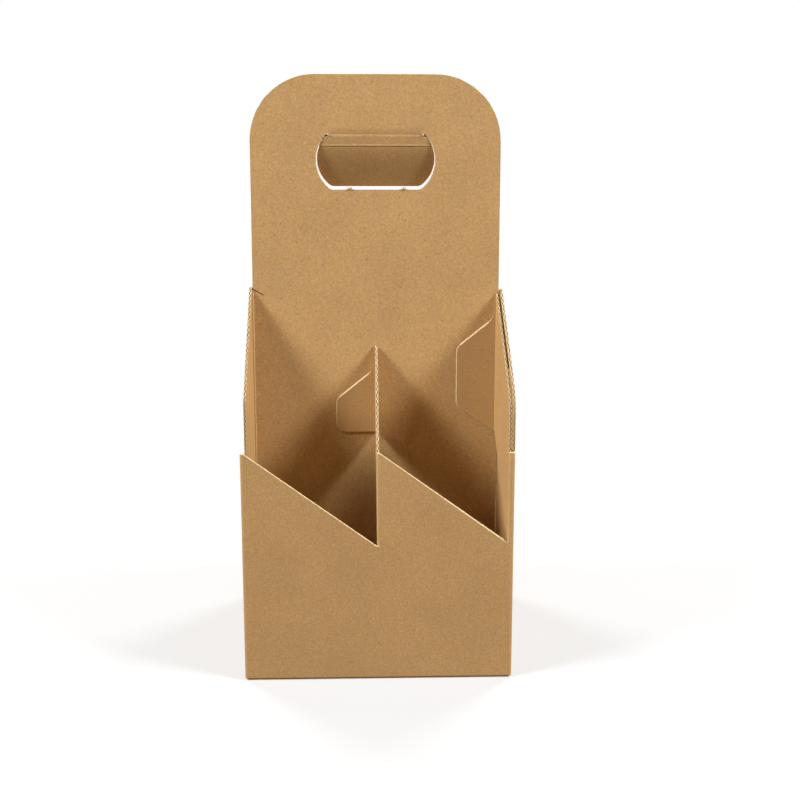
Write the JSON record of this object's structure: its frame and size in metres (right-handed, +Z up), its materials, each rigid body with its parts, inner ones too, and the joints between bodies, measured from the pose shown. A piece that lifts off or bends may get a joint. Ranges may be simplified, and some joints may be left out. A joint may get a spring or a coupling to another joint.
{
  "type": "bottle carrier box",
  "caption": "Folded kraft corrugated bottle carrier: open-topped cells with saw-tooth fronts around a tall central handle with a flapped hand hole.",
  "frame": {"origin": "middle of the base, on the surface that the carrier stands on", "axes": "+Z up, +Y to the rear, +X to the right seen from the front; the handle lies in the plane y = 0"},
  "size_m": [0.13, 0.13, 0.292],
  "materials": {
    "kraft_board": "matt brown kraft liner with cream cut edges"
  },
  "bodies": {
    "carrier": {"carrier": "kraft_board"},
    "strip": {"flap_strip": "kraft_board"},
    "flap": {"handle_flap": "kraft_board"}
  },
  "joints": [
    {"name": "upper_crease", "type": "hinge", "parent": "carrier", "child": "strip", "pos_m": [0, -0.0006, 0.2616], "axis": [1, 0, 0], "range_deg": [-11, 79]},
    {"name": "lower_crease", "type": "hinge", "parent": "strip", "child": "flap", "pos_m": [0, 0.00035, 0.25669], "axis": [1, 0, 0], "range_deg": [-9, 67]}
  ]
}
